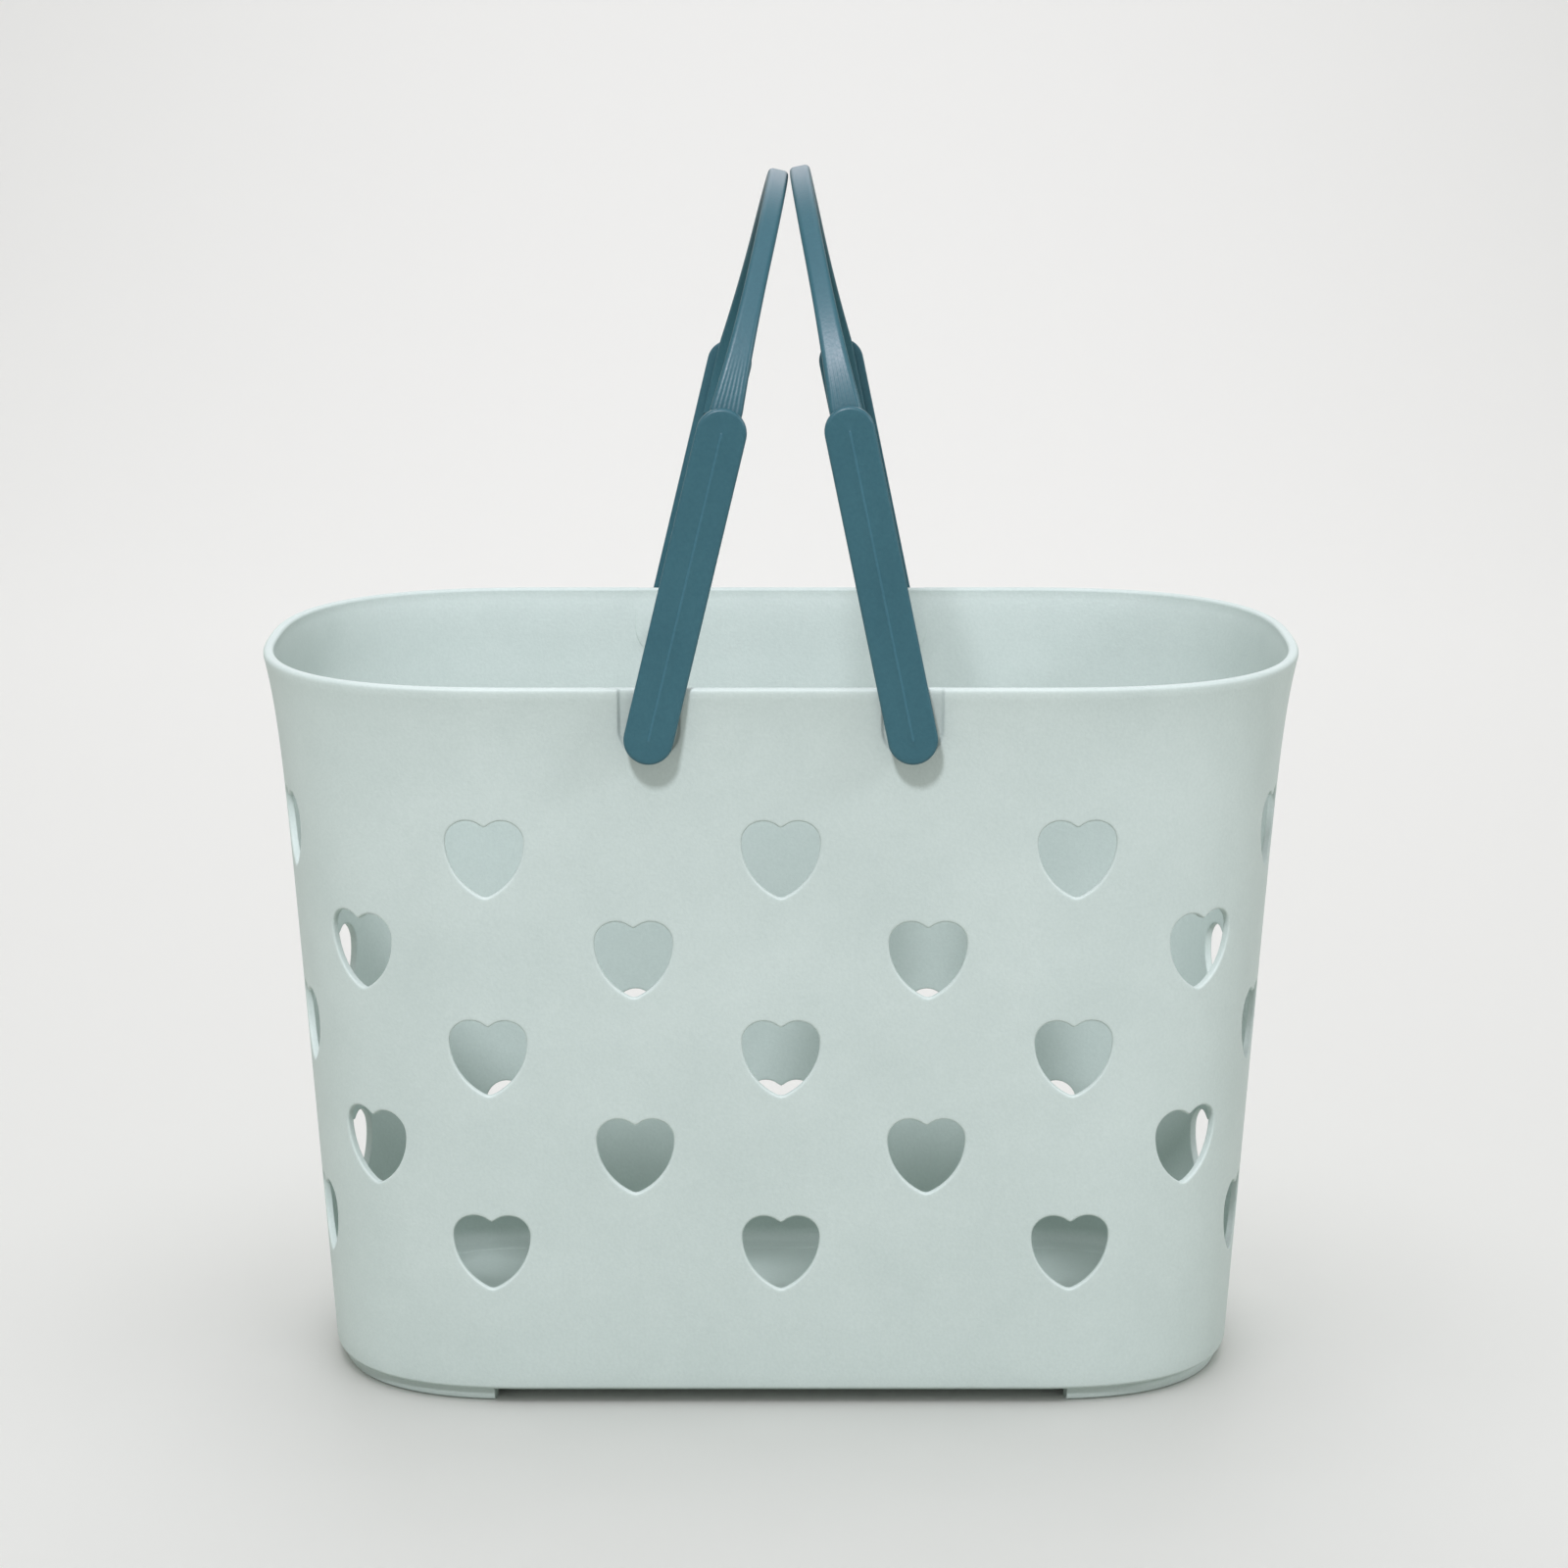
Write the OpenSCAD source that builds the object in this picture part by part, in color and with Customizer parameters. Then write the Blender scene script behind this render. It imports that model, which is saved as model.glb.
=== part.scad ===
// Shower caddy: a tapered plastic basket with heart-shaped openings and two
// swinging bail handles that snap into pads on its long walls.
// Millimetres. +Z is up, the long walls run along X, and the origin is on the
// ground under the middle of the basket.

/* [Basket] */
// Length of the rim, end to end
rim_length = 340; // [280:1:410]
// Depth of the rim, front to back
rim_depth = 200; // [165:1:240]
// Height of the wall, from the underside of the floor to the rim
wall_height = 236.4; // [196:0.2:285]
// Straight run of the two long walls
straight_length = 160; // [130:1:195]
// Roundness of the ends: 2 is an ellipse, more is squarer
end_squareness = 2.62; // [2.2:0.02:3.2]
// How far each end wall stands in at the base
end_taper = 15.9; // [8:0.1:22]
// How far each long wall stands in at the base
side_taper = 19.2; // [10:0.1:24]
// Extra outward flare of the wall just under the rim
rim_flare = 3.3; // [0:0.1:6]
// Height over which the flare fades out
flare_height = 19; // [8:1:30]
// Thickness of the wall
wall = 2.4; // [1.8:0.1:3.2]
// Thickness of the floor
floor_thickness = 2.6; // [2:0.1:4]
// Thickness of the rounded rim
rim_thickness = 3.4; // [3.2:0.1:5]
// Depth of the thick band under the rim, on the inside
rim_band = 6; // [4:0.5:12]
// Radius of the outer bottom edge
base_radius = 1.5; // [0.5:0.1:2]
// Radius between the floor and the inside of the wall
floor_radius = 5; // [2:0.5:10]

/* [Feet] */
// Height of the foot ribs
foot_height = 4.4; // [2:0.2:6]
// Width of the foot ribs
foot_width = 5; // [3:0.5:8]
// How far the foot ribs stand in from the edge of the base
foot_inset = 2.2; // [2:0.1:5]
// Clear length between the two foot ribs
foot_gap = 186; // [150:1:220]

/* [Heart openings] */
// Width of a heart
heart_width = 24.8; // [18:0.2:30]
// Height of a heart, from the tip to the top of the lobes
heart_height = 25.6; // [20:0.2:31]
// Distance between the middles of the two lobes
heart_lobe_spacing = 11; // [8:0.2:12.4]
// Height of the lowest row's middle above the floor's underside
first_row = 47.8; // [40:0.2:60]
// Height from one row to the next
row_pitch = 33.1; // [30:0.1:36]
// Distance between columns on the long walls
column_pitch = 46.6; // [40:0.2:50]
// Direction of the corner columns, from straight ahead
corner_angle = 36.5; // [34:0.5:40]
// Direction of the columns beside each end's middle
flank_angle = 69; // [64:0.5:71]

/* [Handle pads] */
// Distance between the two handle pivots
pivot_span = 82; // [72:1:96]
// Depth of the pivots below the rim
pivot_drop = 15.7; // [13:0.1:20]
// Width of the recessed pads
pad_width = 19.2; // [17:0.2:24]
// Depth of the pad's round end below the rim, at its middle
pad_drop = 13.4; // [10:0.1:16]
// Depth of the pads' recess
pad_recess = 0.9; // [0.4:0.1:1.4]
// Diameter of the round hole in each pad
pivot_bore = 6.16; // [4.16:0.1:8.16]

/* [Handles] */
// Radial clearance between a stud and its hole
stud_clearance = 0.08; // [0.05:0.01:0.1]
// Clearance between an arm's hub or head and the pad
hub_clearance = 0.35; // [0.3:0.05:0.8]
// Diameter of the hub behind each arm
hub_diameter = 11; // [9:0.5:13]
// Diameter of the snap head inside the wall
head_diameter = 8.4; // [7.2:0.1:11]
// Thickness of the snap head
head_thickness = 2; // [1.2:0.1:3]
// Gap between the rim and the back of an arm
arm_gap = 0.5; // [0.4:0.1:1.5]
// Width of a flat arm
arm_width = 15.6; // [12.8:0.1:18.8]
// Thickness of a flat arm
arm_thickness = 2.9; // [2.4:0.1:4]
// Length of a flat arm, from the pivot to the middle of its round top
arm_length = 98; // [85:1:112]
// Height of the grip's top above the pivot
grip_height = 173.5; // [155:0.5:200]
// Height above the pivot at which the arch begins to curve in
arch_start = 85; // [72:1:95]
// Width of the grip
grip_width = 6.6; // [5.4:0.1:8]
// Width of the arch where it leaves an arm
shoulder_width = 10; // [9:0.1:12]
// Height over which the arch narrows above an arm
shoulder_rise = 45; // [30:1:55]
// Thickness of the arch
arch_thickness = 4; // [3:0.1:5]
// Size of the arch's cut corners
arch_edge = 1; // [0.6:0.1:1.2]
// How far the arch stands behind an arm's front face
arch_setback = 1.7; // [1.2:0.1:2.2]
// Lean of the right-hand handle towards the middle
right_lean = 11.7; // [7:0.1:12.5]
// Gap between the two grips at rest
grip_gap = 0.35; // [0.3:0.05:1]

/* [Hidden] */

basket_colour = [0.72, 0.79, 0.77];
handle_colour = [0.20, 0.37, 0.42];

floor_z = foot_height;
rim_z = floor_z + wall_height;
pivot_z = rim_z - pivot_drop;
quarter_steps = 12;
edge_step = 30;
arch_step = 6;
arch_tail = 6;
slice = 0.5;
round_fn = 48;
heart_fn = 32;

// Depths below the rim where the wall changes slope
flare_levels = [6, 12, 20, 32, 60];

// Stud sizes follow the hole that they turn in
stud_diameter = pivot_bore - 2 * stud_clearance;
arm_back = rim_depth / 2 + arm_gap;
arm_front = arm_back + arm_thickness;
arch_reach = arm_front - arch_setback;

// The left-hand handle leans until the upper edges of the two grips all but touch
grip_half = grip_width / 2;
grip_edge_z = grip_height - arch_edge;
grip_edge_radius = norm([grip_edge_z, grip_half]);
grip_edge_angle = atan2(grip_half, grip_edge_z);
right_reach = grip_edge_radius * sin(right_lean + grip_edge_angle);
left_lean = asin((pivot_span - grip_gap - right_reach) / grip_edge_radius) - grip_edge_angle;

// ---- Basket wall ----

// The rim is widest at lip_z, and its rounded top is no wider
rim_edge = rim_thickness / 2;
lip_z = rim_z - rim_edge;
function below_lip(z) = max(0, lip_z - z);
function flare(z) = rim_flare * (1 - exp(-below_lip(z) / flare_height));
function drop(z) = below_lip(z) / wall_height;
function half_length(z) = rim_length / 2 - end_taper * drop(z) - flare(z);
function half_depth(z) = rim_depth / 2 - side_taper * drop(z) - flare(z);

// A point of the outline at height z; the angle is 0 at the +X end, and side
// is the sign of x, which keeps both ends of the straight walls
function outline_point(z, inset, angle, side) =
    let (power = 2 / end_squareness,
         flat = straight_length / 2,
         reach = half_length(z) - inset - flat,
         depth = half_depth(z) - inset,
         across = pow(abs(cos(angle)), power),
         along = pow(abs(sin(angle)), power))
    [side * (flat + reach * across), sign(sin(angle)) * depth * along];

function outline(z, inset) = concat(
    [for (i = [0 : quarter_steps]) outline_point(z, inset, 90 * i / quarter_steps, 1)],
    [for (i = [0 : quarter_steps]) outline_point(z, inset, 90 + 90 * i / quarter_steps, -1)],
    [for (i = [1 : quarter_steps]) outline_point(z, inset, 180 + 90 * i / quarter_steps, -1)],
    [for (i = [0 : quarter_steps - 1]) outline_point(z, inset, 270 + 90 * i / quarter_steps, 1)]);

// Each level is [height, inset], from the outer base up over the rim and
// down the inside to the floor
inner_floor_z = floor_z + floor_thickness;
levels = concat(
    [for (a = [0 : edge_step : 90])
        [floor_z + base_radius * (1 - cos(a)), base_radius * (1 - sin(a))]],
    [for (i = [len(flare_levels) - 1 : -1 : 0]) [rim_z - flare_levels[i], 0]],
    [for (a = [0 : edge_step : 180])
        [rim_z - rim_edge * (1 - sin(a)), rim_edge * (1 - cos(a))]],
    [[rim_z - rim_band, rim_thickness], [rim_z - rim_band - rim_edge, wall]],
    [for (i = [1 : len(flare_levels) - 1]) [rim_z - flare_levels[i] - rim_edge / 2, wall]],
    [for (a = [0 : edge_step : 90])
        [inner_floor_z + floor_radius * (1 - sin(a)), wall + floor_radius * (1 - cos(a))]]);

module shell() {
    rings = [for (level = levels) outline(level[0], level[1])];
    count = len(rings[0]);
    points = [for (i = [0 : len(levels) - 1]) for (p = rings[i]) [p[0], p[1], levels[i][0]]];
    sides = [for (i = [0 : len(levels) - 2]) for (j = [0 : count - 1])
        let (k = (j + 1) % count, low = i * count, high = low + count)
        each [[low + j, high + j, high + k], [low + j, high + k, low + k]]];
    bottom = [[for (j = [0 : count - 1]) j]];
    top = [[for (j = [count - 1 : -1 : 0]) (len(levels) - 1) * count + j]];
    polyhedron(points = points, faces = concat(bottom, sides, top), convexity = 6);
}

// ---- Heart openings ----

// The heart's middle is halfway up; its lobes are round and its two sides are
// arcs that meet at the tip
module heart() {
    lobe = (heart_width - heart_lobe_spacing) / 2;
    tip = heart_height - lobe;
    side_radius = (heart_width * heart_width / 4 + tip * tip) / heart_width;
    side_offset = side_radius - heart_width / 2;
    translate([0, heart_height / 2 - lobe]) {
        for (s = [-1, 1])
            translate([s * heart_lobe_spacing / 2, 0])
                circle(r = lobe, $fn = heart_fn);
        intersection() {
            translate([-side_offset, 0])
                circle(r = side_radius, $fn = 3 * heart_fn);
            translate([side_offset, 0])
                circle(r = side_radius, $fn = 3 * heart_fn);
            translate([-heart_width, -2 * tip])
                square([2 * heart_width, 2 * tip]);
        }
    }
}

// One heart cut through the wall at a point of the outline, square to it
module heart_cut(point, direction, z) {
    reach = rim_thickness + floor_radius + rim_flare;
    translate([point[0], point[1], z])
        rotate([90, 0, direction + 90])
            translate([0, 0, -reach])
                linear_extrude(2 * reach)
                    heart();
}

// Direction of the outward normal where the outline has this angle
function outward(z, angle) =
    let (power = 2 - 2 / end_squareness,
         reach = half_length(z) - straight_length / 2,
         across = pow(abs(cos(angle)), power) / reach,
         along = pow(abs(sin(angle)), power) / half_depth(z))
    atan2(along, across);

module corner_hearts(z, from_front) {
    angle = 90 - from_front;
    point = outline_point(z, 0, angle, 1);
    turn = outward(z, angle);
    for (side = [0, 1])
        mirror([side, 0, 0])
            for (face = [0, 1])
                mirror([0, face, 0])
                    heart_cut(point, turn, z);
}

module face_hearts(z, column) {
    for (side = column == 0 ? [1] : [-1, 1])
        for (face = [-1, 1])
            heart_cut([side * column * column_pitch, face * half_depth(z)], face * 90, z);
}

module end_hearts(z) {
    for (side = [0, 1])
        mirror([side, 0, 0])
            heart_cut([half_length(z), 0], 0, z);
}

// Five rows, with every second row shifted by one column
module hearts() {
    for (row = [0 : 4]) {
        z = floor_z + first_row + row * row_pitch;
        if (row % 2 == 0) {
            face_hearts(z, 0);
            face_hearts(z, 2);
            corner_hearts(z, flank_angle);
        } else {
            face_hearts(z, 1);
            corner_hearts(z, corner_angle);
            end_hearts(z);
        }
    }
}

// ---- Handle pads ----

// The pad's outline seen from the front, with a round lower end
module pad_outline(margin) {
    radius = pad_width / 2 + margin;
    middle = rim_z - pad_drop;
    translate([0, middle])
        circle(r = radius, $fn = round_fn);
    translate([-radius, middle])
        square([2 * radius, pad_drop + rim_thickness]);
}

// Everything outside the wall's face, moved in by inset, over the pads' height
module wall_side(inset, reach, top_z) {
    depths = [for (i = [len(flare_levels) - 1 : -1 : 0]) flare_levels[i]];
    faces = [for (d = depths) [half_depth(rim_z - d) - inset, rim_z - d]];
    top_face = half_depth(top_z) - inset;
    rotate([90, 0, 90])
        translate([0, 0, -pad_width])
            linear_extrude(2 * pad_width)
                polygon(concat(faces, [[top_face, top_z], [top_face + reach, top_z],
                    [rim_depth / 2 + reach, rim_z], [half_depth(rim_z - depths[0]) + reach, faces[0][1]]]));
}

// Repeats a part of the back wall at all four pivots
module at_pivots() {
    for (side = [-1, 1])
        for (face = [0, 1])
            mirror([0, face, 0])
                translate([side * pivot_span / 2, 0, 0])
                    children();
}

module pad_prism(margin) {
    rotate([90, 0, 0])
        translate([0, 0, -rim_depth])
            linear_extrude(rim_depth)
                pad_outline(margin);
}

// The pad's back stands out on the inside by as much as its face is recessed
module pad_back() {
    intersection() {
        pad_prism(wall / 2);
        difference() {
            wall_side(pad_recess + wall, wall, rim_z - rim_edge);
            wall_side(wall / 2, 2 * wall, rim_z);
        }
    }
}

module pad_face() {
    intersection() {
        pad_prism(0);
        wall_side(pad_recess, rim_depth / 4, rim_z + 1);
    }
}

module pivot_hole() {
    translate([0, rim_depth / 2 + arm_gap, pivot_z])
        rotate([90, 0, 0])
            cylinder(d = pivot_bore, h = rim_depth / 4, $fn = round_fn);
}

// ---- Feet ----

module foot_ribs() {
    linear_extrude(foot_height + slice)
        difference() {
            polygon(outline(floor_z, foot_inset));
            polygon(outline(floor_z, foot_inset + foot_width));
            square([foot_gap, rim_depth], center = true);
        }
}

module basket_body() {
    color(basket_colour)
        difference() {
            union() {
                shell();
                foot_ribs();
                at_pivots() pad_back();
            }
            hearts();
            at_pivots() pad_face();
            at_pivots() pivot_hole();
        }
}

// ---- Handles ----

// Width of the arch at a height above the pivot: it widens into the arm
shoulder_z = arm_length + arm_width / 2;
function arch_width(z) =
    let (share = max(0, min(1, 1 - (z - shoulder_z) / shoulder_rise)))
    grip_width + (shoulder_width - grip_width) * share * share;

// Section of the arch with cut corners: u is along X and v is outwards
function arch_section(width) =
    let (u = width / 2, v = -arch_thickness, cut = arch_edge)
    [[-u, -cut], [cut - u, 0], [u - cut, 0], [u, -cut],
     [u, v + cut], [u - cut, v], [cut - u, v], [-u, v + cut]];

// The arch is half an ellipse, and a straight tail runs down behind each arm.
// Each frame is [y, z, direction of its outward side from +Y towards +Z]
arch_rise = grip_height - arch_start;
arch_frames = concat(
    [[-arch_reach, arch_start - arch_tail, 180]],
    [for (a = [-90 : arch_step : 90])
        [arch_reach * sin(a), arch_start + arch_rise * cos(a),
         atan2(arch_reach * cos(a), arch_rise * sin(a))]],
    [[arch_reach, arch_start - arch_tail, 0]]);

module arch() {
    last = len(arch_frames) - 1;
    rings = [for (f = arch_frames)
        [for (p = arch_section(arch_width(f[1])))
            [p[0], f[0] + p[1] * cos(f[2]), f[1] + p[1] * sin(f[2])]]];
    count = len(rings[0]);
    points = [for (ring = rings) each ring];
    sides = [for (i = [0 : last - 1]) for (j = [0 : count - 1])
        let (k = (j + 1) % count, low = i * count, high = low + count)
        each [[low + j, high + j, high + k], [low + j, high + k, low + k]]];
    start = [[for (j = [0 : count - 1]) j]];
    end = [[for (j = [count - 1 : -1 : 0]) last * count + j]];
    polyhedron(points = points, faces = concat(start, sides, end), convexity = 4);
}

module arm_outline() {
    circle(d = arm_width, $fn = round_fn);
    translate([-arm_width / 2, 0])
        square([arm_width, arm_length]);
    translate([0, arm_length])
        circle(d = arm_width, $fn = round_fn);
}

// The hub stops short of the pad, and the head short of the wall's inside
hub_face = half_depth(pivot_z + hub_diameter / 2) - pad_recess + hub_clearance;
head_face = half_depth(pivot_z - head_diameter / 2) - pad_recess - wall - hub_clearance;

module turned(diameter, from_y, to_y) {
    translate([0, to_y, 0])
        rotate([90, 0, 0])
            cylinder(d = diameter, h = to_y - from_y, $fn = round_fn);
}

module snap_head() {
    tip_diameter = stud_diameter - 2 * stud_clearance;
    translate([0, head_face, 0])
        rotate([90, 0, 0])
            cylinder(d1 = head_diameter, d2 = tip_diameter, h = head_thickness, $fn = round_fn);
}

// The back arm; the front one is its mirror image
module arm() {
    translate([0, arm_front, 0])
        rotate([90, 0, 0])
            linear_extrude(arm_thickness)
                arm_outline();
    turned(hub_diameter, hub_face, arm_back + slice);
    turned(stud_diameter, head_face - slice, arm_back + slice);
    snap_head();
}

module handle() {
    for (face = [0, 1])
        mirror([0, face, 0])
            arm();
    arch();
}

module left_handle() {
    color(handle_colour)
        translate([-pivot_span / 2, 0, pivot_z])
            rotate([0, left_lean, 0])
                handle();
}

module right_handle() {
    color(handle_colour)
        translate([pivot_span / 2, 0, pivot_z])
            rotate([0, -right_lean, 0])
                handle();
}

basket_body();
left_handle();
right_handle();
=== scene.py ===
"""Looks of the shower caddy: a pale basket with heart openings and two dark bail handles."""
import math

import bmesh
import bpy
import numpy as np
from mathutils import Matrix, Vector


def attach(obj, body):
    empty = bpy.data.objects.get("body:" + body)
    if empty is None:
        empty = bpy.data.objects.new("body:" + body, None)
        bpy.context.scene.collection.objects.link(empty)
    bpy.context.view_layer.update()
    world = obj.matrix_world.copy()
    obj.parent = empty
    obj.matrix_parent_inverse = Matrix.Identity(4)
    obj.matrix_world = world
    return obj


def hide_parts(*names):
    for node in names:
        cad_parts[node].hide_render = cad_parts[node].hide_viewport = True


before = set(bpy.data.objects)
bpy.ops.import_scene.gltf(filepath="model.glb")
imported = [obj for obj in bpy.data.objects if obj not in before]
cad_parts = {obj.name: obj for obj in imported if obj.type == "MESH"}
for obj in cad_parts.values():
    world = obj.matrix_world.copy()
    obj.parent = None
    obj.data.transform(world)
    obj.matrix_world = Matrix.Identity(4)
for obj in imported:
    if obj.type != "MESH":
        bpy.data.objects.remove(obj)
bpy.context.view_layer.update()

# ---- Sizes in millimetres, as in the CAD source ----
RIM_LENGTH, RIM_DEPTH, WALL_HEIGHT = 340.0, 200.0, 236.4
STRAIGHT = 160.0
SQUARENESS = 2.62
END_TAPER, SIDE_TAPER = 15.9, 19.2
RIM_FLARE, FLARE_HEIGHT = 3.3, 19.0
WALL, FLOOR, RIM_THICK = 2.4, 2.6, 3.4
BASE_R, FLOOR_R = 1.5, 5.0
FOOT_H, FOOT_W, FOOT_INSET, FOOT_GAP = 4.4, 5.0, 2.2, 186.0
HEART_W, HEART_H, LOBES = 24.8, 25.6, 11.0
FIRST_ROW, ROW_PITCH, COLUMN_PITCH = 47.8, 33.1, 46.6
CORNER_ANGLE, FLANK_ANGLE = 36.5, 69.0
PIVOT_SPAN, PIVOT_DROP = 82.0, 15.7
PAD_W, PAD_DROP, PAD_RECESS, PIVOT_BORE = 19.2, 13.4, 0.9, 6.16
STUD_CLEAR, HUB_CLEAR, HUB_D, HEAD_D, HEAD_T = 0.08, 0.35, 11.0, 8.4, 2.0
ARM_GAP, ARM_W, ARM_T, ARM_L = 0.5, 15.6, 2.9, 98.0
GRIP_Z, ARCH_START, GRIP_W, SHOULDER_W, SHOULDER_RISE = 173.5, 85.0, 6.6, 10.0, 45.0
ARCH_T, ARCH_EDGE, ARCH_BACK, RIGHT_LEAN, GRIP_GAP = 4.0, 1.0, 1.7, 11.7, 0.35

FLOOR_Z = FOOT_H
RIM_Z = FLOOR_Z + WALL_HEIGHT
LIP_Z = RIM_Z - RIM_THICK / 2
PIVOT_Z = RIM_Z - PIVOT_DROP
PAD_Z = RIM_Z - PAD_DROP
FLAT = STRAIGHT / 2
POWER = 2 / SQUARENESS

# ---- Sizes in millimetres that only the looks have ----
HEART_ROUND, HEART_ROUND_IN = 0.75, 0.4  # edges of a heart, outside and inside
HEART_MARGIN = 0.7  # even ring of faces round a heart
NOTCH_R, TIP_R = 1.2, 2.6
RIM_ROUND = 1.05
BAND_Z = LIP_Z - 23.7  # the wall thickens from here up to the rim
PLAIN_STRIP = 6.2  # height of plain wall between the hearts and the pads' grids
PAD_MARGIN, PAD_MARGIN_IN = 0.9, 1.2  # even rings of faces round and inside a pad's outline
BACK_FADE = 16.0  # height over which a pad's back comes out of the wall
BORE_EDGE = 0.3
BORE_SPREAD = 0.12  # a bore's chamfered end is this share wider than the bore
RIB_EDGE = ((0.1, 0.75), (0.35, 0.3), (0.85, 0.0))  # (distance in, height) of a foot rib's edge
# Where the floor steps down inside, as (distance in from the wall's outside, drop)
FLOOR_STEP = ((11.0, 0.0), (11.5, 0.08), (12.0, 0.45), (12.6, 0.5))
SPINE = 66.0  # half length of the line that the floor's faces run to
ARM_ROUND, ARM_ROUND_BACK = 1.05, 0.5
ARM_RINGS, ARM_RING_BACK = (2.2, 4.5), 3.0  # rings of faces on an arm, at these distances in
# The raised line down an arm, as (half width, height); from LINE_TONE_AND_SHEEN_FROM up it has a
# lighter colour, partly its own paler tone and partly painted sheen
ARM_CREASE = ((0.5, 0.0), (0.35, 0.03), (0.22, 0.12), (0.1, 0.15), (0.0, 0.16))
LINE_TONE_AND_SHEEN_FROM = 0.02
ARCH_ROUND, ARCH_ROUND_LOW = 1.5, 0.8
ARCH_TAIL = 6.0  # how far the arch runs down inside each arm
FLUTES, FLUTE_DEPTH = 5, 0.08
FLUTE_Z, FLUTE_FADE = 106.0, 18.0  # height above the pivot where the flutes fade, and over what
HUB_SINK = 0.5  # how far a hub runs into its arm
# A stud's edges, as steps outwards and in radius from its hub, its head and its tip
HUB_STEPS = ((0.4, 0.0), (0.12, -0.12), (0.0, -0.4))
STUD_EDGE = 0.2
HEAD_STEPS = ((0.0, -0.3), (-0.1, -0.08), (-0.35, -0.12))
TIP_STEPS = ((0.3, 0.35), (0.08, 0.1), (0.0, -0.3))

# ---- Fineness of the meshes ----
CELL_X, CELL_Z = 18, 16
SEARCH_STEPS, SEARCH_REACH = 36, 26.0
# Rings of faces on the way from an edge to the border of its grid, as shares of the way
HEART_SHARES = (0.0, 0.16, 0.36, 0.62, 1.0)
PAD_SHARES = (0.0, 0.3, 0.6, 0.82, 1.0)
BORE_SHARES = (0.0, 0.4, 0.75, 1.0)
PAD_ACROSS = 15

MM = 0.001  # metres in a millimetre


def smooth(t):
    t = np.clip(t, 0, 1)
    return t * t * (3 - 2 * t)


# ---- The wall as a surface: q runs round it, z is the height, inset is the depth in ----

def half_sizes(z):
    below = np.maximum(0.0, LIP_Z - z)
    flare = RIM_FLARE * (1 - np.exp(-below / FLARE_HEIGHT))
    drop = below / WALL_HEIGHT
    return RIM_LENGTH / 2 - END_TAPER * drop - flare, RIM_DEPTH / 2 - SIDE_TAPER * drop - flare


def quarter(angle, z, inset):
    """A point of the first quadrant, where angle is 0 at the end and pi/2 at the straight wall."""
    length, depth = half_sizes(z)
    x = FLAT + (length - inset - FLAT) * np.abs(np.cos(angle)) ** POWER
    return x, (depth - inset) * np.abs(np.sin(angle)) ** POWER


# q is measured along the outline at this height; Q is a quarter of the way round
REFERENCE_Z = 120.0
ANGLES = np.linspace(math.pi / 2, 0.0, 40001)
STEPS = np.hypot(*np.diff(quarter(ANGLES, REFERENCE_Z, 0.0)))
LENGTHS = np.concatenate([[0.0], np.cumsum(STEPS)]) + FLAT
Q = float(LENGTHS[-1])


def surface(q, z, inset):
    """Points of the wall; q starts at the front's middle and goes anticlockwise from above."""
    q, z, inset = np.broadcast_arrays(*(np.asarray(v, float) for v in (q, z, inset)))
    turn = np.floor(q / Q).astype(int) % 4
    r = q - np.floor(q / Q) * Q
    r = np.where(turn % 2 == 1, Q - r, r)
    angle = np.interp(r, LENGTHS, ANGLES)
    x, y = quarter(angle, z, inset)
    depth = half_sizes(z)[1]
    x = np.where(r <= FLAT, r, x)
    y = np.where(r <= FLAT, depth - inset, y)
    sx = np.where(turn < 2, 1.0, -1.0)
    sy = np.where((turn == 0) | (turn == 3), -1.0, 1.0)
    return np.stack([sx * x, sy * y, z], -1)


def r_of_angle(degrees):
    return float(np.interp(-math.radians(degrees), -ANGLES, LENGTHS))


# Columns of one quadrant, from the middle of a long wall to the middle of an end
R_FOOT = float(np.interp(FOOT_GAP / 2, quarter(ANGLES, FLOOR_Z, FOOT_INSET + FOOT_W / 2)[0], LENGTHS))
R_CENTRES = [0.0, COLUMN_PITCH, 2 * COLUMN_PITCH, r_of_angle(90 - CORNER_ANGLE),
             r_of_angle(90 - FLANK_ANGLE), Q]
KINDS = ["face0", "face1", "face2", "corner", "flank", "end"]


def outward(angle, z):
    length, depth = half_sizes(z)
    across = abs(math.cos(angle)) ** (2 - POWER) / (length - FLAT)
    along = abs(math.sin(angle)) ** (2 - POWER) / depth
    return math.atan2(along, across)


def heart_frame(kind, z, quad):
    """Middle and outward direction of a heart on the wall."""
    length, depth = half_sizes(z)
    if kind.startswith("face"):
        x, y, turn = int(kind[4]) * COLUMN_PITCH, float(depth), math.pi / 2
    elif kind == "end":
        x, y, turn = float(length), 0.0, 0.0
    else:
        angle = math.radians(90 - (CORNER_ANGLE if kind == "corner" else FLANK_ANGLE))
        x, y = (float(v) for v in quarter(angle, z, 0.0))
        turn = outward(angle, z)
    sx = 1 if quad in (0, 1) else -1
    sy = -1 if quad in (0, 3) else 1
    normal = np.array([sx * math.cos(turn), sy * math.sin(turn)])
    return np.array([sx * x, sy * y]), normal


def solve_q(middle, tangent, a, z, inset, q0):
    """q at which the wall is at distance a along the tangent from a heart's middle."""
    low = np.full(np.broadcast(a, z, inset).shape, q0 - SEARCH_REACH)
    high = low + 2 * SEARCH_REACH
    for _ in range(SEARCH_STEPS):
        mid = (low + high) / 2
        p = surface(mid, z, inset)
        here = (p[..., 0] - middle[0]) * tangent[0] + (p[..., 1] - middle[1]) * tangent[1]
        low = np.where(here < a, mid, low)
        high = np.where(here < a, high, mid)
    return (low + high) / 2


# ---- Outlines ----

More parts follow.
